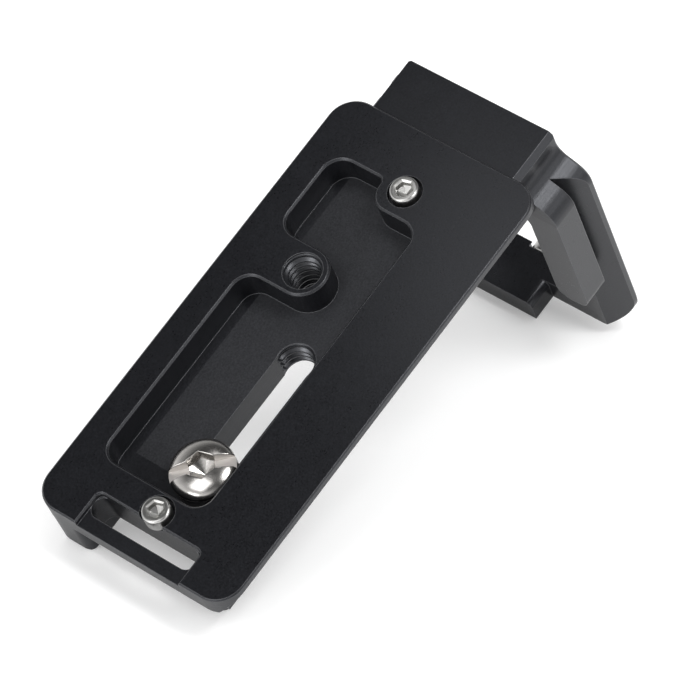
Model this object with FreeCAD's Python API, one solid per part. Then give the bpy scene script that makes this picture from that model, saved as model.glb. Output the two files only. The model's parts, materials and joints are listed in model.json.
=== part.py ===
import FreeCAD, Part
import math
import os
from FreeCAD import Vector

os.makedirs("parts", exist_ok=True)

# An L-shaped quick release plate: a flat base that screws under a camera, and an upright arm at its end.
# Both carry the same 45 degree dovetail, so a tripod clamp can hold the camera level or on its side.
# All of it is drawn lying flat first: X from the base's free end to the arm, Y across the base, and Z from
# the dovetail's face (Z 0) through the base towards the camera. stand() then props it up like a tent.

# Base, all sizes in mm
base_length = 80.2
dovetail_width = 38.0
base_thickness = 10.5
base_corner_radius = 4.5
base_land = 1.2  # upright edge beside the dovetail's face, before the flank turns inwards
base_undercut = 3.3
shoulder_side = 13.8  # beside this, the camera's seat is cut down to a shoulder
shoulder_back = 7.1
edge_chamfer = 0.25
rim_chamfer = 0.3

# Stop screws, M2.5, whose heads stand proud and keep the plate from sliding out of a clamp
stop_head_radius = 2.3
stop_head_height = 2.5
stop_hex_width = 2.4
stop_hex_depth = 1.2
stop_shank_radius = 1.25
stop_shank_length = 6.0
stop_head_clearance = 0.5
stop_shank_clearance = 0.05
stop_tip_clearance = 0.5
stop_proud = 1.0
stop_inset = 7.7  # from the base's free end to the first screw
second_stop_inset = 10.0  # from the base's arm end to the second screw
arm_stop_proud = 1.6
hole_wall = 0.5  # metal left beside a screw's hole or counterbore

# Pocket milled into the dovetail's face
pocket_depth = 5.3
pocket_near_side = 5.9
pocket_far_side = -13.8
pocket_step = 4.6  # how far the pocket's narrow end runs past its near side's end
pocket_shelf = -4.4  # side of the narrow end, beside the second stop screw
cutter_radius = 3.0
narrow_end_radius = 3.3
shelf_radius = 1.0

# Tapped boss standing in the pocket, and its 1/4 inch thread
quarter_inch_radius = 3.175
boss_from_stop = 18.8
boss_y = -5.65
boss_radius = 4.25

# Slot along which the camera screw is adjusted
slot_start = 17.6
slot_from_boss = 11.4
slot_width = 6.0

# Free end: strap slot in a shallow recess, and the feet cut away behind it
strap_half_length = 10.0
strap_recess_depth = 1.0
strap_recess_radius = 1.0
strap_slot_from = 2.45
strap_slot_to = 6.0
strap_slot_radius = 1.7
strap_bar_back = 3.75  # the bar's far face
strap_relief_to = 10.0
end_foot_side = -10.45
end_foot_radius = 1.5
end_foot_chamfer = 0.4

# Camera screw, 1/4 inch, captive by its neck
head_radius = 5.25
head_rim_height = 2.2
head_dome_height = 2.0
head_slot_width = 2.0
head_slot_depth = 2.1
head_slot_turn = 45.0  # degrees from X towards Y
head_hex_width = 4.0
head_hex_depth = 2.4
head_hex_turn = 30.0  # degrees from the coin slot, so that the slot crosses two of the flats
neck_radius = 2.45  # under the thread's root, so that the mouth's thread lets it pass
seat_clearance = 0.05
thread_start = 0.3  # past the camera's seat
thread_length = 4.8
thread_lead_in = 0.6

# Arm
arm_thickness = 9.6
arm_rib_thickness = 4.7
arm_height = 50.7
arm_corner_radius = 5.0
arm_undercut = 3.8
arm_chamfer = 0.3
foot_half_width = 13.9
foot_setback = 0.6  # the foot's face lies this far behind the dovetail's face
foot_chamfer = 0.9
flare_start = 5.0
flare_end = 7.7
flare_low_radius = 3.0
flare_high_radius = 4.0
window_half_width = 13.0
window_bottom = 11.5
window_radius = 3.0
crossbar_width = 4.5
short_rib_gap = 11.0  # from the short rib's end to the crossbar
short_rib_radius = 2.4
end_block_side = 4.4
end_block_radius = 1.3

overshoot = 1.0  # cutters start this far outside the metal
beyond = 80.0  # longer than any single cut

half_width = dovetail_width / 2
neck_half_width = half_width - base_undercut
counterbore_radius = stop_head_radius + stop_head_clearance
first_stop_x = stop_inset
second_stop_x = base_length - second_stop_inset
pocket_start = first_stop_x + counterbore_radius + hole_wall
pocket_end = second_stop_x + rim_chamfer
boss_x = second_stop_x - boss_from_stop
slot_end = boss_x - slot_from_boss
arm_middle = base_length + arm_rib_thickness
arm_outer = base_length + arm_thickness
window_top = arm_height - crossbar_width
short_rib_top = window_top - short_rib_gap
arm_stop_z = window_top + stop_shank_radius + stop_shank_clearance + hole_wall
head_seat = pocket_depth - seat_clearance


def rounded_outline(corners):
    """Closed outline through corners given as (first, second, radius), each rounded to its radius."""
    bends = []
    for here, before, after in zip(corners, corners[-1:] + corners[:-1], corners[1:] + corners[:1]):
        corner = Vector(here[0], here[1], 0)
        back = (Vector(before[0], before[1], 0) - corner).normalize()
        onward = (Vector(after[0], after[1], 0) - corner).normalize()
        half_angle = back.getAngle(onward) / 2
        reach = here[2] / math.tan(half_angle)
        inwards = (back + onward).normalize()
        middle = corner + inwards * (here[2] / math.sin(half_angle) - here[2])
        bends.append((corner + back * reach, middle, corner + onward * reach, here[2]))
    edges = []
    for (start, middle, end, radius), following in zip(bends, bends[1:] + bends[:1]):
        if radius > 0:
            edges.append(Part.Arc(start, middle, end).toShape())
        if (following[0] - end).Length > 1e-6:
            edges.append(Part.makeLine(end, following[0]))
    return Part.Wire(edges)


def prism(corners, low, high):
    """Rounded outline in X and Y, from Z low to Z high."""
    face = Part.Face(rounded_outline(corners))
    face.translate(Vector(0, 0, low))
    return face.extrude(Vector(0, 0, high - low))


def upright(corners, low, high):
    """Rounded outline in Y and Z, from X low to X high."""
    solid = prism(corners, low, high)
    solid.rotate(Vector(0, 0, 0), Vector(1, 1, 1), 120)
    return solid


def rectangle(x0, x1, y0, y1, radius=0.0):
    """Corners of a rectangle, all with one radius."""
    return [(x0, y0, radius), (x1, y0, radius), (x1, y1, radius), (x0, y1, radius)]


def edges_at(shape, axis, value):
    """Edges lying in the plane where one axis has one value."""
    chosen = []
    for edge in shape.Edges:
        low = getattr(edge.BoundBox, axis + "Min")
        high = getattr(edge.BoundBox, axis + "Max")
        if abs(low - value) < 1e-4 and abs(high - value) < 1e-4:
            chosen.append(edge)
    return chosen


def pocket_outline():
    """The pocket: wide along the slot, bent around the tapped boss, and narrow beside the second stop screw."""
    shoulder = pocket_end - pocket_step
    boss_from = boss_x - boss_radius
    boss_to = boss_x + boss_radius
    boss_top = boss_y + boss_radius
    return [
        (pocket_start, pocket_near_side, cutter_radius),
        (shoulder, pocket_near_side, cutter_radius),
        (shoulder, pocket_shelf, narrow_end_radius),
        (pocket_end, pocket_shelf, shelf_radius),
        (pocket_end, pocket_far_side, narrow_end_radius),
        (boss_to, pocket_far_side, cutter_radius),
        (boss_to, boss_top, boss_radius),
        (boss_from, boss_top, boss_radius),
        (boss_from, pocket_far_side, cutter_radius),
        (pocket_start, pocket_far_side, cutter_radius),
    ]


def dovetail_flank(side):
    """Cutter for one long side of the base: a 45 degree flank, then straight up beside the neck."""
    outside = side * (half_width + overshoot)
    neck = side * neck_half_width
    section = [
        (outside, base_land - overshoot, 0.0),
        (neck, base_land + base_undercut, 0.0),
        (neck, base_thickness + overshoot, 0.0),
        (outside, base_thickness + overshoot, 0.0),
    ]
    return upright(section, -overshoot, base_length + overshoot)


def strap_recess():
    """Shallow recess in the dovetail's face, open at the free end, in which a strap lies."""
    side = strap_half_length
    corners = [
        (-overshoot, -side, 0.0),
        (strap_slot_to, -side, strap_recess_radius),
        (strap_slot_to, side, strap_recess_radius),
        (-overshoot, side, 0.0),
    ]
    return prism(corners, -overshoot, strap_recess_depth)


def base_blank():
    """Rounded plate with its dovetail and pocket, and every edge of the dovetail's face broken."""
    plate = prism(rectangle(0.0, base_length, -half_width, half_width, base_corner_radius), 0.0, base_thickness)
    plate = plate.cut(strap_recess())
    plate = plate.makeChamfer(edge_chamfer, edges_at(plate, "Z", 0.0))
    shoulder = rectangle(-overshoot, base_length, shoulder_side, beyond)
    plate = plate.cut([dovetail_flank(-1), dovetail_flank(1), prism(shoulder, shoulder_back, beyond)])
    plate = plate.cut(prism(pocket_outline(), -overshoot, pocket_depth))
    rim = [e for e in edges_at(plate, "Z", 0.0) if e.BoundBox.YMax < pocket_near_side + rim_chamfer]
    rim = [e for e in rim if e.BoundBox.YMin > pocket_far_side - rim_chamfer]
    rim = [e for e in rim if pocket_start - rim_chamfer < e.BoundBox.XMin]
    rim = [e for e in rim if e.BoundBox.XMax < pocket_end + rim_chamfer]
    return plate.makeChamfer(rim_chamfer, rim)


def slot_cutter():
    """Adjusting slot through the pocket's floor, with the threaded mouth at its arm end."""
    low = pocket_depth - overshoot
    reach = slot_width / 2
    straight = prism(rectangle(slot_start, slot_end, -reach, reach), low, beyond)
    ends = [
        Part.makeCylinder(reach, beyond, Vector(slot_start, 0, low)),
        Part.makeCylinder(quarter_inch_radius, beyond, Vector(slot_end, 0, low)),
    ]
    return [straight] + ends


def foot_corner(end, side, low):
    """Cutter that rounds a foot's upright corner, where its end in X meets its side in Y."""
    middle = Vector(end + end_foot_radius, side - end_foot_radius, 0)
    corner = prism(rectangle(end, middle.x, middle.y, side), low, beyond)
    return corner.cut(Part.makeCylinder(end_foot_radius, beyond, middle))


def strap_cutters():
    """Everything else milled from the free end: strap slot, and the room behind the strap bar."""
    side = strap_half_length
    slot = prism(rectangle(strap_slot_from, strap_slot_to, -side, side, strap_slot_radius), 0.0, beyond)
    end = prism(
        [
            (-beyond, end_foot_side, 0.0),
            (strap_slot_from, end_foot_side, 0.0),
            (strap_slot_from, beyond, 0.0),
            (-beyond, beyond, 0.0),
        ],
        strap_bar_back,
        beyond,
    )
    relief = prism(rectangle(0.0, strap_relief_to, end_foot_side, side), shoulder_back, beyond)
    corners = [
        foot_corner(0.0, end_foot_side, strap_bar_back),
        foot_corner(strap_slot_from, shoulder_side, shoulder_back),
    ]
    edge = [
        (base_thickness - end_foot_chamfer, 0.0, 0.0),
        (base_thickness + overshoot, 0.0, 0.0),
        (base_thickness + overshoot, end_foot_chamfer + overshoot, 0.0),
    ]
    chamfer = prism(edge, -half_width, half_width)
    chamfer.rotate(Vector(0, 0, 0), Vector(1, 1, 1), 240)
    return [slot, end, relief, chamfer] + corners


def stop_hole(x, y):
    """Counterbore and tapped hole for a stop screw in the dovetail's face."""
    depth = stop_head_height - stop_proud
    reach = depth + stop_shank_length + stop_tip_clearance
    bore = Part.makeCylinder(counterbore_radius, depth + overshoot, Vector(x, y, -overshoot))
    thread = Part.makeCylinder(stop_shank_radius + stop_shank_clearance, reach, Vector(x, y, 0))
    return [bore, thread]


def arm_stop_hole():
    """Counterbore and tapped hole for the stop screw in the arm's outer face, near its tip."""
    depth = stop_head_height - arm_stop_proud
    reach = depth + stop_shank_length + stop_tip_clearance
    inwards = Vector(-1, 0, 0)
    start = Vector(arm_outer, 0, arm_stop_z)
    bore = Part.makeCylinder(counterbore_radius, depth + overshoot, start - inwards * overshoot, inwards)
    thread = Part.makeCylinder(stop_shank_radius + stop_shank_clearance, reach, start, inwards)
    return [bore, thread]


def base():
    """The whole base with its tapped hole, slot, strap slot and stop screw holes."""
    plate = base_blank().cut(strap_cutters())
    tapped = Part.makeCylinder(quarter_inch_radius, beyond, Vector(boss_x, boss_y, -overshoot))
    holes = stop_hole(first_stop_x, 0.0) + stop_hole(second_stop_x, 0.0)
    return plate.cut([tapped] + slot_cutter() + holes)


def arm_foot():
    """Corners of the foot, from side to side: a narrow block that flares out to the dovetail's width."""
    corners = [
        (foot_half_width, flare_start, flare_low_radius),
        (half_width, flare_end, flare_high_radius),
    ]
    other = [(-y, z, radius) for y, z, radius in reversed(corners)]
    face = [
        (-foot_half_width, foot_setback, 0.0),
        (foot_half_width - foot_chamfer, foot_setback, 0.0),
        (foot_half_width, foot_setback + foot_chamfer, 0.0),
    ]
    return other + face + corners


def arm_plate():
    """Outer layer of the arm, with its face's edges broken and its window cut."""
    tip = [(half_width, arm_height, arm_corner_radius), (-half_width, arm_height, arm_corner_radius)]
    plate = upright(arm_foot() + tip, arm_middle, arm_outer)
    rim = [e for e in edges_at(plate, "X", arm_outer) if e.BoundBox.ZMax > foot_setback + foot_chamfer]
    plate = plate.makeChamfer(arm_chamfer, rim)
    room = rectangle(-window_half_width, window_half_width, window_bottom, window_top, window_radius)
    return plate.cut(upright(room, arm_middle - overshoot, arm_outer + overshoot))


def arm_ribs():
    """Inner layer of the arm: a short rib, and a long rib that turns along the tip as a block."""
    side = window_half_width
    ribs = [
        (half_width, short_rib_top, short_rib_radius),
        (side, short_rib_top, short_rib_radius),
        (side, window_bottom, window_radius),
        (-side, window_bottom, window_radius),
        (-side, window_top, window_radius),
        (end_block_side, window_top, end_block_radius),
        (end_block_side, arm_height, 0.0),
        (-half_width, arm_height, arm_corner_radius),
    ]
    return upright(arm_foot() + ribs, base_length, arm_middle)


def arm_groove(side):
    """Dovetail groove along one side of the arm: square behind the ribs, 45 degrees towards the outer face."""
    outside = side * (half_width + overshoot)
    apex = side * (half_width - arm_undercut)
    section = [
        (arm_middle, apex, 0.0),
        (arm_middle, outside, 0.0),
        (arm_middle + arm_undercut + overshoot, outside, 0.0),
    ]
    return prism(section, -beyond, beyond)


def l_bracket():
    """Base and arm in one piece of metal."""
    arm = arm_plate().fuse(arm_ribs())
    body = base().fuse(arm).removeSplitter()
    return body.cut([arm_groove(-1), arm_groove(1)] + arm_stop_hole())


def socket_cutter(width, depth, turn=0.0):
    """Six-sided socket below Z 0 of a screw's head, with the drill's cone at its bottom."""
    corner = width / math.sqrt(3)
    points = []
    for number in range(6):
        angle = math.radians(turn + 60 * number)
        points.append((corner * math.cos(angle), corner * math.sin(angle), 0.0))
    cone = Part.makeCone(width / 2, 0.0, width / 4, Vector(0, 0, depth))
    return [prism(points, -overshoot, depth), cone]


def stop_screw():
    """Socket head cap screw with its head's top at Z 0 and its shank along positive Z."""
    head = Part.makeCylinder(stop_head_radius, stop_head_height)
    head = head.makeChamfer(rim_chamfer, edges_at(head, "Z", 0.0))
    tip = stop_head_height + stop_shank_length
    shank = Part.makeCylinder(stop_shank_radius, tip)
    shank = shank.makeChamfer(rim_chamfer, edges_at(shank, "Z", tip))
    return head.fuse(shank).removeSplitter().cut(socket_cutter(stop_hex_width, stop_hex_depth))


def camera_screw():
    """Captive screw: domed head with a coin slot and a socket, plain neck, and the camera's thread."""
    rim = head_seat - head_rim_height
    top = rim - head_dome_height
    shoulder = base_thickness + thread_start
    tip = shoulder + thread_length
    thread = quarter_inch_radius
    outline = [
        (head_radius, rim),
        (head_radius, head_seat),
        (neck_radius, head_seat),
        (neck_radius, shoulder),
        (thread, shoulder),
        (thread, tip - thread_lead_in),
        (thread - thread_lead_in, tip),
        (0.0, tip),
        (0.0, top),
    ]
    points = [Vector(radius, 0, z) for radius, z in outline]
    edges = [Part.makeLine(a, b) for a, b in zip(points, points[1:])]
    dome = Part.Ellipse(points[0], points[-1], Vector(0, 0, rim))
    edges.append(dome.toShape(0, math.pi / 2))
    screw = Part.Face(Part.Wire(edges)).revolve(Vector(0, 0, 0), Vector(0, 0, 1), 360)
    reach = head_slot_width / 2
    slot = prism(rectangle(-beyond, beyond, -reach, reach), -beyond, top + head_slot_depth)
    slot.rotate(Vector(0, 0, 0), Vector(0, 0, 1), head_slot_turn)
    socket = socket_cutter(head_hex_width, head_hex_depth, head_slot_turn + head_hex_turn)
    for cutter in socket:
        cutter.translate(Vector(0, 0, top))
    screw = screw.cut([slot] + socket)
    screw.translate(Vector(slot_start, 0, 0))
    return screw


def all_pieces():
    """Every piece by its name, lying flat and in its place."""
    pieces = {"l_bracket": l_bracket(), "camera_screw": camera_screw()}
    for name, x in (("free_end_stop_screw", first_stop_x), ("arm_side_stop_screw", second_stop_x)):
        pieces[name] = stop_screw()
        pieces[name].translate(Vector(x, 0, -stop_proud))
    screw = stop_screw()
    screw.rotate(Vector(0, 0, 0), Vector(0, 1, 0), -90)
    screw.translate(Vector(arm_outer + arm_stop_proud, 0, arm_stop_z))
    pieces["arm_stop_screw"] = screw
    return pieces


def stand(pieces):
    """Prop the bracket up on its free end and its arm's tip, centred over the origin."""
    lean = math.atan2(arm_height - base_thickness, base_length - end_foot_chamfer)
    axis = Vector(math.cos(lean / 2), 0, math.sin(lean / 2))
    for shape in pieces.values():
        shape.rotate(Vector(0, 0, 0), axis, 180)
    reach = Part.makeCompound(list(pieces.values())).optimalBoundingBox(False)
    shift = Vector(-reach.Center.x, -reach.Center.y, -reach.ZMin)
    for shape in pieces.values():
        shape.translate(shift)
    return lean, shift


pieces = all_pieces()
lean, shift = stand(pieces)
for name, shape in pieces.items():
    print(name, round(shape.Volume, 2), shape.isValid(), len(shape.Solids), len(shape.Faces))
    shape.exportStep("parts/" + name + ".step")
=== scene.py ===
import json
import math

import bmesh
import bpy
import numpy as np
from mathutils import Euler, Matrix, Vector


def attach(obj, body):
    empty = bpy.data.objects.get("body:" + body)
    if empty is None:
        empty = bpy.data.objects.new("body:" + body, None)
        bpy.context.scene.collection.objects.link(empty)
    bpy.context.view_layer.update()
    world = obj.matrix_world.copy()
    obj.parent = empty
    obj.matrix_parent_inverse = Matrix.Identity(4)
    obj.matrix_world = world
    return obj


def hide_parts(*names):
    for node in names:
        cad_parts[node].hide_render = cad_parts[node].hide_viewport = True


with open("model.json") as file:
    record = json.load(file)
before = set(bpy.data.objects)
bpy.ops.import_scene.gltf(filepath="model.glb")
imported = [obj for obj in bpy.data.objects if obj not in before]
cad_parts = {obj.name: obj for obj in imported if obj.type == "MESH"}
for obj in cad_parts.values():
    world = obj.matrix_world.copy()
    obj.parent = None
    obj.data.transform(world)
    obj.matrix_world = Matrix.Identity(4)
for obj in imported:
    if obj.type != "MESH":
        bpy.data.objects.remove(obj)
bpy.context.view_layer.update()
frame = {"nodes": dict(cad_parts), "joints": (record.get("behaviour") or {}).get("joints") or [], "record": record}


# The bracket: one piece of aluminium, milled all over, blasted fine and anodised black.
# The dye leaves a satin skin with a grain that can just be seen. Edges and corners carry a painted highlight:
# their colour is made paler.
class Shade:
    """A value in a material's node tree. Sums, differences and products of it add Math nodes."""

    def __init__(self, tree, socket=None):
        self.tree = tree
        self.socket = socket

    def node(self, kind, settings, sockets, output=0):
        """A node of one type: its settings first, then a value or a link for each named socket."""
        made = self.tree.nodes.new("ShaderNode" + kind)
        for name, value in settings.items():
            setattr(made, name, value)
        for name, value in sockets.items():
            if isinstance(value, Shade):
                self.tree.links.new(value.socket, made.inputs[name])
            else:
                made.inputs[name].default_value = value
        return Shade(self.tree, made.outputs[output] if made.outputs else None)

    def maths(self, operation, *values):
        return self.node("Math", {"operation": operation}, dict(enumerate(values)))

    def __add__(self, other):
        return self.maths("ADD", self, other)

    def __sub__(self, other):
        return self.maths("SUBTRACT", self, other)

    def __rsub__(self, other):
        return self.maths("SUBTRACT", other, self)

    def __mul__(self, other):
        return self.maths("MULTIPLY", self, other)

    __radd__ = __add__
    __rmul__ = __mul__


def new_finish(name, constants):
    """A material with one Principled shader, whose constant sockets are set on the shader itself."""
    material = bpy.data.materials.new(name)
    material.use_nodes = True
    tree = material.node_tree
    surface = tree.nodes["Principled BSDF"]
    for socket, value in constants.items():
        surface.inputs[socket].default_value = value
    return material, Shade(tree), surface


def feed(shade, surface, socket, value):
    """Links a value that changes over the surface to one of the shader's sockets."""
    shade.tree.links.new(value.socket, surface.inputs[socket])


mix_first, mix_second, mix_result = 6, 7, 2  # where a Mix of colours has its two colours and their mixture


def two_colours(shade, factor, first, second):
    """The first colour where the factor is 0, the second where it is 1, and a mixture in between."""
    first, second = [(*colour, 1.0) if isinstance(colour, tuple) else colour for colour in (first, second)]
    sockets = {"Factor": factor, mix_first: first, mix_second: second}
    return shade.node("Mix", {"data_type": "RGBA"}, sockets, output=mix_result)


metre = 1000  # sizes here are in mm, and places are in metres
slide = frame["joints"][0]
mounts = {mount["name"]: mount for mount in frame["record"]["mounts"]}
along = Vector(slide["axis"]).normalized()  # from the base's free end to the arm
through = -Vector(mounts["tripod_socket"]["axis"]).normalized()  # from the dovetail's face to the camera
across = through.cross(along)
base_thickness = mounts["tripod_socket"]["dims"]["length_mm"]
pocket_depth = 5.3
boss_middle = Vector(mounts["tripod_socket"]["pos_m"])  # halfway through the plate
boss_mouth = boss_middle - through * base_thickness / (2 * metre)

# Colours from the dark to the pale of the speckle, and the pale colour painted on edges and corners as a
# highlight.
dye_colours = (0.0024, 0.0025, 0.0032), (0.0082, 0.0086, 0.0106)
grey_colours = (0.0085, 0.0087, 0.0100), (0.0225, 0.0230, 0.0258)
# painted highlight: the pale colour given to edges and corners
edge_highlight_colour = (0.100, 0.101, 0.106)
skin_tint = (0.92, 0.94, 1.0, 1.0)  # the skin mirrors a little less red and green
mottle_scale = 250.0  # mottles to a metre
grain_scale = 3400.0  # grains to a metre
cutter_scale = 3.0  # lines of the cutter to a millimetre
grey_share = 0.8  # how far the grey takes the black dye's place
edge_round = 0.00018  # metres
# how strongly edges and corners are painted paler as a highlight
edge_highlight_gain = 8.0
wall_margin = 0.1  # kept free of the cutter's lines at both faces of the plate
floor_margin = 0.15  # above and below the pocket's floor
grey_along = (-36.0, 24.0)  # from the boss: the part of the pocket's floor that is greyer
grey_across = (-6.5, 17.5)
average_sheen = 0.085  # what grain and mottle add to the roughness between them, on average


def from_boss(shade, place, axis):
    """How far a place lies along one of the plate's axes from the mouth of the boss, in mm."""
    sockets = {0: place, 1: tuple(axis)}
    measured = shade.node("VectorMath", {"operation": "DOT_PRODUCT"}, sockets, output="Value")
    return measured * metre - axis.dot(boss_mouth) * metre


def within(shade, value, low, high):
    """1 where a value is no further from the middle of two limits than they are, and 0 elsewhere."""
    return shade.maths("COMPARE", value, (low + high) / 2, (high - low) / 2)


def anodised_finish(name, roughness, grain_height, gloss=0.5):
    """Black dye over a blasted surface: mottled at 4 mm, grained at 0.3 mm, and pitted by that grain.

    Most of the pocket's floor, which is milled deeper, is rougher and greyer, and fine lines of the cutter
    run along every wall of the base, each at its own depth. Edges and corners get a painted highlight: their
    colour is made paler by the gain times what the product of the face's own direction and its direction
    once rounded lacks of 1."""
    material, shade, surface = new_finish(name, {"Specular Tint": skin_tint, "Specular IOR Level": gloss})
    place = shade.node("TexCoord", {}, {}, output="Object")
    depth = from_boss(shade, place, through)
    grey = within(shade, depth, pocket_depth - floor_margin, pocket_depth + floor_margin)
    grey = grey * within(shade, from_boss(shade, place, along), *grey_along)
    grey = grey * within(shade, from_boss(shade, place, across), *grey_across)
    mottle = shade.node("TexNoise", {}, {"Vector": place, "Scale": mottle_scale, "Detail": 3.0})
    grained = {"Vector": place, "Scale": grain_scale, "Detail": 2.0, "Roughness": 0.6}
    grain = shade.node("TexNoise", {}, grained)
    lines = {"W": depth, "Scale": cutter_scale, "Detail": 2.0}
    cutter = shade.node("TexNoise", {"noise_dimensions": "1D"}, lines)
    cutter = cutter * within(shade, depth, wall_margin, base_thickness - wall_margin)
    rounded = shade.node("Bevel", {"samples": 6}, {"Radius": edge_round})
    flat = shade.node("NewGeometry", {}, {}, output="Normal")
    alike = shade.node("VectorMath", {"operation": "DOT_PRODUCT"}, {0: rounded, 1: flat}, output="Value")
    # painted highlight: edges and corners, where the rounded direction turns away from the face's own, are made
    # paler
    painted_edge_highlight = (1.0 - alike) * edge_highlight_gain
    speckle = grain * 2.4 + mottle * 0.4 - 0.9
    black_dye = two_colours(shade, speckle, *dye_colours)
    grey_dye = two_colours(shade, speckle, *grey_colours)
    dye = two_colours(shade, grey * grey_share, black_dye, grey_dye)
    feed(shade, surface, "Base Color", two_colours(shade, painted_edge_highlight, dye, edge_highlight_colour))
    sheen = grain * 0.12 + mottle * 0.05 + cutter * 0.10 + grey * 0.16
    feed(shade, surface, "Roughness", sheen + (roughness - average_sheen))
    pits = {"Height": grain + cutter * 0.6, "Strength": 1.0, "Distance": grain_height, "Normal": rounded}
    feed(shade, surface, "Normal", shade.node("Bump", {}, pits))
    return material


anodised = anodised_finish("black_anodised_blasted", roughness=0.30, grain_height=0.000012)
bracket = frame["nodes"]["l_bracket"]
bracket.material_slots[0].material = anodised


# The threads: 1/4 inch, 20 turns to the inch, cut through the boss and in the slot's round mouth.
# The camera screw passes the slot only by turning through the mouth. Both are dyed black with the bracket.
thread_pitch = 1.27
thread_radius = 3.175
thread_depth = 0.62
thread_peak = 1.25  # height of the turns before their crests are cut flat at 1
thread_fade = 0.9  # over which the first and last turns grow from nothing
thread_rows = 16  # rows of points to a turn
lining_gap = 0.01  # between the thread's roots and the bore
lining_back = 0.15  # how deep the lining's back lies in the bracket's metal
arc_fade = 0.15  # radians over which an open arc's turns fade at its two ends
boss_thread_start = 0.35  # below the dovetail's face
boss_points = 96
mouth_points = 72
mouth_half_arc = math.radians(108)
mouth_from_boss = (-11.4, 5.65)  # along and across the base
thread_margin = 0.1  # between a lining's ends and the faces that its bore opens in
weld_distance = 1e-7  # metres
thread_finish = anodised_finish("black_anodised_thread", roughness=0.30, grain_height=0.000004, gloss=1.0)


def seat(points, origin, axes=None):
    """Points in mm along three axes from an origin become metres in the part's frame.

    The axes are the plate's own, along, across and through it, unless others are given."""
    axes = np.array(axes or [along, across, through])
    return np.asarray(points) / metre @ axes + np.array(origin)


def grid_piece(name, points, material, body, closed=(False, False), caps=(), sharp=180):
    """A mesh on a grid of points, rows by columns: each cell is a face, and each cap row a polygon.

    Points that coincide are welded, faces are turned outwards, and folds above an angle stay sharp."""
    rows, columns = points.shape[:2]
    number = np.arange(rows * columns).reshape(rows, columns)
    if closed[0]:
        number = np.vstack([number, number[:1]])
    if closed[1]:
        number = np.hstack([number, number[:, :1]])
    cells = np.stack([number[:-1, :-1], number[:-1, 1:], number[1:, 1:], number[1:, :-1]], axis=-1)
    faces = cells.reshape(-1, 4).tolist() + [number[row, :columns].tolist() for row in caps]
    mesh = bpy.data.meshes.new(name)
    mesh.from_pydata(points.reshape(-1, 3), [], faces)
    mesh.materials.append(material)
    shell = bmesh.new()
    shell.from_mesh(mesh)
    bmesh.ops.remove_doubles(shell, verts=shell.verts, dist=weld_distance)
    bmesh.ops.recalc_face_normals(shell, faces=shell.faces)
    shell.to_mesh(mesh)
    shell.free()
    mesh.shade_smooth()
    mesh.set_sharp_from_angle(angle=math.radians(sharp))
    piece = bpy.data.objects.new(name, mesh)
    bpy.context.scene.collection.objects.link(piece)
    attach(piece, body)
    return piece


def thread_turns(angle, height, low, high):
    """Depth of a thread at an angle and a height: a triangle wave that climbs one pitch a turn.

    The wave's crest is flattened, and the turns fade to nothing at the thread's low and high ends."""
    phase = (height / thread_pitch - angle / (2 * np.pi)) % 1.0
    wave = np.clip(thread_peak * (1 - np.abs(2 * phase - 1)), 0.0, 1.0)
    return thread_depth * wave * np.clip(np.minimum(height - low, high - height) / thread_fade, 0.0, 1.0)


def tapped_lining(name, origin, low, high, half_arc, count):
    """The wall of a tapped hole, from its low to its high end, as a closed ring or arc of metal.

    Each section runs up at the bore's radius less the turns' depth, and returns behind them, inside the
    bracket's own metal. On an arc the turns also fade towards its two ends, by the angle left to the end."""
    whole = half_arc >= np.pi
    heights = np.linspace(low, high, round((high - low) / thread_pitch * thread_rows) + 1)
    sweep = np.linspace(-half_arc, half_arc, count, endpoint=not whole)
    angle, height = np.meshgrid(sweep, heights, indexing="ij")
    ends = 1.0 if whole else np.clip((half_arc - np.abs(angle)) / arc_fade, 0.0, 1.0)
    radius = thread_radius - lining_gap - ends * thread_turns(angle, height, low, high)
    radius = np.hstack([radius, np.full((count, 2), thread_radius + lining_back)])
    height = np.hstack([height, height[:, -1:], height[:, :1]])
    angle = np.hstack([angle, angle[:, :2]])
    points = np.stack([radius * np.cos(angle), radius * np.sin(angle), height], axis=-1)
    closed = (whole, True)
    caps = () if whole else (0, -1)
    return grid_piece(name, seat(points, origin), thread_finish, "bracket", closed, caps)


thread_end = base_thickness - thread_margin
mouth_start = pocket_depth + thread_margin
slot_mouth = boss_mouth + (along * mouth_from_boss[0] + across * mouth_from_boss[1]) / metre
tapped_lining("boss_thread", boss_mouth, boss_thread_start, thread_end, np.pi, boss_points)
tapped_lining("slot_mouth_thread", slot_mouth, mouth_start, thread_end, mouth_half_arc, mouth_points)


# The camera screw: turned from stainless steel, with a low polished dome that has a coin slot and a socket.
# Its plain neck slides in the bracket's slot, and its thread stands out on the camera's side.
head_radius = 5.25
head_rim_height = 2.2
head_dome_height = 2.0
head_slot_width = 2.0
head_slot_depth = 2.1
head_slot_turn = math.radians(45)
head_hex_width = 4.0
head_hex_depth = 2.4
head_cone = 0.58  # slope of the socket's bottom, as a drill leaves it
head_break = 0.16  # round on the edges of the coin slot and the socket
head_chamfer = 0.15  # between the head's side and its underside
head_clearance = 0.05  # between the underside and the pocket's floor
head_seat = pocket_depth - head_clearance
head_rim = head_seat - head_rim_height
head_top = head_rim - head_dome_height
slot_floor = head_top + head_slot_depth
cone_tip = head_top + head_hex_depth + head_cone * head_hex_width / 2
slot_floor_margin = 0.02  # above and below the coin slot's floor
milled_colour = (0.86, 0.82, 0.79)
steel_sheen = 0.08  # what cloud and grain add to the roughness between them, on average
cloud_scale = 900.0  # clouds to a metre
scratch_scale = 5200.0  # scratches to a metre
milled_sheen = 0.22  # how much rougher the coin slot's floor is
pole = 0.02  # radius left at a turned piece's middle, closed by a flat face
hidden_end = 0.5  # radius at which the head's underside and the neck's top are closed, inside the screw
round_rows = 7  # rows of points over a rounded edge
crown_rows = 22  # rows of points from the lip to the dome's rim


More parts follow.
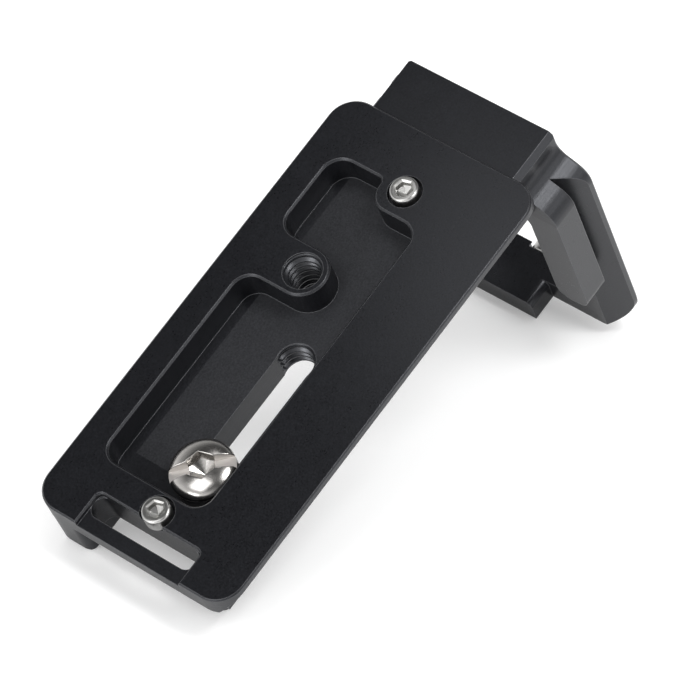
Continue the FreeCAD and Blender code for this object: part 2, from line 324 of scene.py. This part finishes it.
def lathe(name, angle, radius, height, origin, material, body, axes=None, sharp=22):
    """A turned piece: rows of radius and height at each angle round an axis, closed at both ends."""
    points = np.stack([radius * np.cos(angle), radius * np.sin(angle), height], axis=-1)
    return grid_piece(name, seat(points, origin, axes), material, body, (False, True), (0, -1), sharp)


def rows_of(profile, count):
    """Rows of radius and of height from a profile of (radius, height) points, the same at every angle."""
    profile = np.array(profile)[:, :, None]
    return profile[:, 0].repeat(count, axis=1), profile[:, 1].repeat(count, axis=1)


def hexagon(width, angle):
    """Radius of a hexagon: half its width over the cosine of the angle from the nearest flat's middle."""
    return width / 2 / np.cos((angle + np.pi / 6) % (np.pi / 3) - np.pi / 6)


def head_cut(angle, grow):
    """Radius of the cut in the head: the socket, or the coin slot's straight side where that is further out.

    The slot's side runs at half its width over the angle's sine, which is kept above 0.01, and ends at the
    rim. Growing the cut moves all of it outwards."""
    side = (head_slot_width / 2 + grow) / np.maximum(np.abs(np.sin(angle)), 0.01)
    return np.minimum(np.maximum(hexagon(head_hex_width + 2 * grow, angle), side), head_radius)


def dome(radius):
    """Height of the dome at a radius: a quarter of an ellipse from the head's top down to its rim."""
    return head_rim - head_dome_height * np.sqrt(np.maximum(1 - (radius / head_radius) ** 2, 0.0))


def head_rows(angle, in_slot):
    """Rows of radius and height of the head at each angle, from the tip of the socket's cone to the seat.

    The cone widens to the hexagon's side, which rises to the coin slot's floor. There a flat leads to the
    cut's edge, which is a quarter of a circle, and then the dome falls to the rim in equal steps of
    latitude. In the coin slot's open ends all of this lies at the slot's floor."""
    even = np.ones_like(angle)
    socket = hexagon(head_hex_width, angle)
    bend = np.linspace(0, np.pi / 2, round_rows)[:, None]
    lip = head_cut(angle, head_break * (1 - np.cos(bend)))
    lip_height = np.minimum(dome(lip) + head_break * (1 - np.sin(bend)), slot_floor)
    latitude = np.arcsin(lip[-1] / head_radius)
    latitude = latitude + (np.pi / 2 - latitude) * np.linspace(0, 1, crown_rows)[1:, None]
    crown = head_radius * np.sin(latitude)
    crown_height = head_rim - head_dome_height * np.cos(latitude)
    upper = np.where(in_slot, slot_floor, np.vstack([lip_height, crown_height]))
    radius = [pole * even, 0.5 * socket, socket, socket, lip[0], *lip, *crown]
    height = [cone_tip - head_cone * row for row in radius[:3]]
    height += [slot_floor * even, slot_floor * even, *upper]
    radius += [head_radius * even, (head_radius - head_chamfer) * even, hidden_end * even]
    height += [(head_seat - head_chamfer) * even, head_seat * even, head_seat * even]
    return np.array(radius), np.array(height)


def steel_finish(name, colours, roughness, scratch, milled=None):
    """Turned stainless steel: a little cloudy at 1 mm, with fine scratches left by the tool.

    A flat milled at some depth below the plate's face, where one is given, is rougher and paler."""
    material, shade, surface = new_finish(name, {"Metallic": 1.0})
    place = shade.node("TexCoord", {}, {}, output="Object")
    cloud = shade.node("TexNoise", {}, {"Vector": place, "Scale": cloud_scale, "Detail": 3.0})
    grain = shade.node("TexNoise", {}, {"Vector": place, "Scale": scratch_scale, "Detail": 2.0})
    colour = two_colours(shade, cloud, *colours)
    sheen = cloud * 0.10 + grain * 0.06 + (roughness - steel_sheen)
    if milled is not None:
        depth = from_boss(shade, place, through)
        flat = within(shade, depth, milled - slot_floor_margin, milled + slot_floor_margin)
        colour = two_colours(shade, flat, colour, milled_colour)
        sheen = sheen + flat * milled_sheen
    feed(shade, surface, "Base Color", colour)
    feed(shade, surface, "Roughness", sheen)
    scratches = {"Height": grain, "Strength": 1.0, "Distance": scratch}
    feed(shade, surface, "Normal", shade.node("Bump", {}, scratches))
    return material


polished_colours = (0.50, 0.485, 0.465), (0.64, 0.62, 0.60)
polished = steel_finish("stainless_polished", polished_colours, roughness=0.22, scratch=0.0000015,
                        milled=slot_floor)
screw_middle = Vector(mounts["camera_thread"]["pos_m"])
screw_origin = screw_middle - through * (screw_middle - boss_mouth).dot(through)  # in the dovetail's face

# A quarter of the head in steps of (from, to, count), which meet where the coin slot's side leaves the rim,
# where it reaches the socket's flat, at the hexagon's corner and in the middle of its next flat. The first
# run goes from the slot's middle to its side.
slot_side = math.asin(head_slot_width / 2 / head_radius)
slot_meets_flat = math.atan2(head_slot_width, head_hex_width)
steps = [(0.0, slot_side, 6), (slot_side, slot_meets_flat, 14), (slot_meets_flat, np.pi / 6, 2)]
steps += [(np.pi / 6, np.pi / 3, 8), (np.pi / 3, np.pi / 2, 8)]
quarter = np.concatenate([np.linspace(start, end, count + 1) for start, end, count in steps])
half = np.concatenate([quarter, np.pi - quarter[::-1]])
head_angle = np.concatenate([half, half + np.pi])
near = np.arange(len(quarter)) <= steps[0][2]
in_slot = np.concatenate([near, near[::-1]] * 2)
head_radii, head_heights = head_rows(head_angle, in_slot)
head = lathe("camera_screw_head", head_angle + head_slot_turn, head_radii, head_heights, screw_origin,
             polished, "camera_screw")

# The thread's turns grow from nothing past the neck. At its end the lead-in thins both turns and root.
neck_radius = 2.45
neck_start = head_seat - 0.3  # inside the head
screw_core = neck_radius + 0.1  # root of the thread
screw_thread_start = base_thickness + 0.3  # a little past the camera's seat
screw_thread_length = 4.8
screw_thread_end = screw_thread_start + screw_thread_length
screw_lead_in = 0.6
screw_lead_taper = 0.4  # how much narrower the root is at the thread's end
screw_end_radius = 0.3
screw_points = 96
screw_rows = 120
screw_angle = np.arange(screw_points) / screw_points * 2 * np.pi
thread_heights = np.linspace(screw_thread_start, screw_thread_end, screw_rows)[:, None] + 0 * screw_angle
lead = np.clip((screw_thread_end - thread_heights) / screw_lead_in, 0.0, 1.0)
turns = thread_turns(screw_angle, thread_heights, screw_thread_start, screw_thread_end + thread_fade)
thread_radii = screw_core + turns * lead - screw_lead_taper * (1 - lead)
neck = [(hidden_end, neck_start), (neck_radius, neck_start), (neck_radius, screw_thread_start)]
neck_radii, neck_heights = rows_of(neck, screw_points)
end_radii, end_heights = rows_of([(screw_end_radius, screw_thread_end)], screw_points)
shank_radii = np.vstack([neck_radii, thread_radii, end_radii])
shank_heights = np.vstack([neck_heights, thread_heights, end_heights])
lathe("camera_screw_thread", screw_angle, shank_radii, shank_heights, screw_origin,
      polished, "camera_screw")
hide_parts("camera_screw")


# The stop screws: three small stainless cap screws, satin, each in a counterbore in the bracket.
# Their heads stand proud of the dovetails, so that a plate in a loosened clamp cannot slide out.
stop_head_radius = 2.3
stop_head_height = 2.5
stop_hex_width = 2.4
stop_hex_depth = 1.2
stop_hex_break = 0.27
stop_hex_turn = math.radians(15)
stop_shank_radius = 1.25
stop_shank_length = 6.0
stop_rim = 0.45  # round between the head's side and its flat top
stop_seat_chamfer = 0.1  # under the head
stop_tip_chamfer = 0.3
stop_points = 72
satin_colours = (0.42, 0.42, 0.41), (0.60, 0.595, 0.58)
satin = steel_finish("stainless_satin", satin_colours, roughness=0.30, scratch=0.000003)


def screw_top(node, axes):
    """The middle of a screw's top, from the extent of its node's points along its three axes."""
    mesh = frame["nodes"][node].data
    points = np.zeros(len(mesh.vertices) * 3)
    mesh.vertices.foreach_get("co", points)
    measured = points.reshape(-1, 3) @ np.array(axes).T
    low, high = measured.min(axis=0), measured.max(axis=0)
    middle = (low + high) / 2
    return np.array([middle[0], middle[1], low[2]]) @ np.array(axes)


def cap_screw(node, inwards):
    """A cap screw that stands for its node, as rows of radius and depth below its top.

    From the tip: shank, underside, side, a quarter of a circle at the rim, flat top, and the socket's broken
    edge, hexagon and cone."""
    axes = [across, Vector(inwards).cross(across), Vector(inwards)]
    tip = stop_head_height + stop_shank_length
    flat = stop_head_radius - stop_rim
    outside = [(pole, tip), (stop_shank_radius - stop_tip_chamfer, tip)]
    outside += [(stop_shank_radius, tip - stop_tip_chamfer), (stop_shank_radius, stop_head_height)]
    outside += [(stop_head_radius - stop_seat_chamfer, stop_head_height)]
    outside += [(stop_head_radius, stop_head_height - stop_seat_chamfer)]
    rim = np.linspace(0, np.pi / 2, round_rows)
    outside += [(flat + stop_rim * math.cos(a), stop_rim - stop_rim * math.sin(a)) for a in rim]
    angle = np.arange(stop_points) / stop_points * 2 * np.pi
    radius, depth = rows_of(outside, stop_points)
    socket = hexagon(stop_hex_width, angle - stop_hex_turn)
    cone_end = stop_hex_depth + stop_hex_width / 4
    inside = np.array([0.0, stop_hex_break, stop_hex_depth, cone_end])[:, None] + 0 * angle
    radius = np.vstack([radius, socket + stop_hex_break, socket, socket, pole + 0 * angle])
    depth = np.vstack([depth, inside])
    top = screw_top(node, axes)
    piece = lathe(node + "_turned", angle, radius, depth, top, satin, "bracket", axes)
    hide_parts(node)


cap_screw("free_end_stop_screw", through)
cap_screw("arm_side_stop_screw", through)
cap_screw("arm_stop_screw", -along)


# The floor: a seamless pale sweep of paper, which the bracket stands on.
# It shows white to the camera and in the steel, and keeps the bracket's soft shadow.
floor_edge = 1.5  # metres from the middle
floor_corners = [(-1, -1), (1, -1), (1, 1), (-1, 1)]
paper_colour = (0.86, 0.86, 0.86, 1.0)
white = (1.0, 1.0, 1.0, 1.0)
lift_seen = 0.20
lift_mirrored = 0.06
floor_mesh = bpy.data.meshes.new("floor")
floor_points = [(x * floor_edge, y * floor_edge, 0) for x, y in floor_corners]
floor_mesh.from_pydata(floor_points, [], [(0, 1, 2, 3)])
floor = bpy.data.objects.new("floor", floor_mesh)
bpy.context.scene.collection.objects.link(floor)
paper = bpy.data.materials.new("pale_paper")
paper.use_nodes = True
paper.node_tree.nodes.clear()
shade = Shade(paper.node_tree)
seen = shade.node("LightPath", {}, {}, output="Is Camera Ray")
mirrored = shade.node("LightPath", {}, {}, output="Is Glossy Ray")
through_glass = shade.node("LightPath", {}, {}, output="Is Transmission Ray")
strength = seen * lift_seen + (mirrored + through_glass) * lift_mirrored
matt = shade.node("BsdfDiffuse", {}, {"Color": paper_colour})
lift = shade.node("Emission", {}, {"Color": white, "Strength": strength})
both = shade.node("AddShader", {}, {0: matt, 1: lift})
shade.node("OutputMaterial", {}, {"Surface": both})
floor_mesh.materials.append(paper)


# The lights: a pale room, which metal mirrors bright near the horizon and dark overhead, and which is white
# to the camera. With it come five square soft lamps: three wide ones, a smaller one on the right, and a
# small weak one near the plate, which gives its face a sheen that changes along it.
room_light = 0.95  # what the room gives to matt surfaces
world = bpy.data.worlds.new("pale_room")
world.use_nodes = True
bpy.context.scene.world = world
world.node_tree.nodes.clear()
shade = Shade(world.node_tree)
seen = shade.node("LightPath", {}, {}, output="Is Camera Ray")
mirrored = shade.node("LightPath", {}, {}, output="Is Glossy Ray")
way = shade.node("TexCoord", {}, {}, output="Generated")
up = shade.node("SeparateXYZ", {}, {"Vector": way}, output="Z")
dim = {"From Min": 0.25, "From Max": 0.70, "To Min": 1.0, "To Max": 0.05}  # by how steeply a ray goes up
walls = shade.node("MapRange", {}, {"Value": up, **dim})
level = shade.maths("MAXIMUM", seen, mirrored * walls + (1 - mirrored) * room_light)
room = shade.node("Background", {}, {"Color": white, "Strength": level})
shade.node("OutputWorld", {}, {"Surface": room})


def soft_lamp(name, place, size, watts):
    """A square lamp at a place, turned towards the middle of the bracket."""
    lamp = bpy.data.lights.new(name, "AREA")
    lamp.shape = "SQUARE"
    lamp.size = size
    lamp.energy = watts
    holder = bpy.data.objects.new(name, lamp)
    holder.location = place
    bracket_middle = Vector((0.0, 0.0, 0.02))
    holder.rotation_euler = (bracket_middle - Vector(place)).to_track_quat("-Z", "Y").to_euler()
    holder.visible_camera = False
    bpy.context.scene.collection.objects.link(holder)


soft_lamp("overhead", place=(-0.44, 0.06, 0.50), size=0.30, watts=0.9)
soft_lamp("left", place=(-0.75, 0.05, 0.10), size=0.30, watts=1.6)
soft_lamp("front_right", place=(0.05, -0.60, 0.40), size=0.30, watts=0.6)
soft_lamp("right", place=(-0.006, -0.170, 0.357), size=0.12, watts=0.55)
soft_lamp("sheen", place=(-0.008, 0.034, 0.165), size=0.05, watts=0.0115)


# The camera: far off, above the dovetail's face, on the side of the base's free end.
# Its place, its turn and its lens were worked out from the lines along the base's edges.
camera_place = (-0.15057, 0.34392, -0.60143)  # along, across and through the plate, from its free end
camera_turn = (-150.0298, -13.94, 52.8462)  # degrees about the same axes
end_from_boss = (-51.4, 5.65)  # along and across, to the middle of the free end
focal_pixels = 4826.7
picture_pixels = 700
sensor_width = 36.0
plate_axes = Matrix([along, across, through]).transposed().to_4x4()
free_end = boss_mouth + (along * end_from_boss[0] + across * end_from_boss[1]) / metre
plate = Matrix.Translation(free_end) @ plate_axes
turn = Euler([math.radians(degrees) for degrees in camera_turn]).to_matrix().to_4x4()
lens = bpy.data.cameras.new("camera")
lens.sensor_width = sensor_width
lens.lens = focal_pixels * sensor_width / picture_pixels
camera = bpy.data.objects.new("camera", lens)
camera.matrix_world = plate @ Matrix.Translation(camera_place) @ turn
bpy.context.scene.collection.objects.link(camera)
bpy.context.scene.camera = camera
bpy.context.scene.view_settings.view_transform = "Standard"
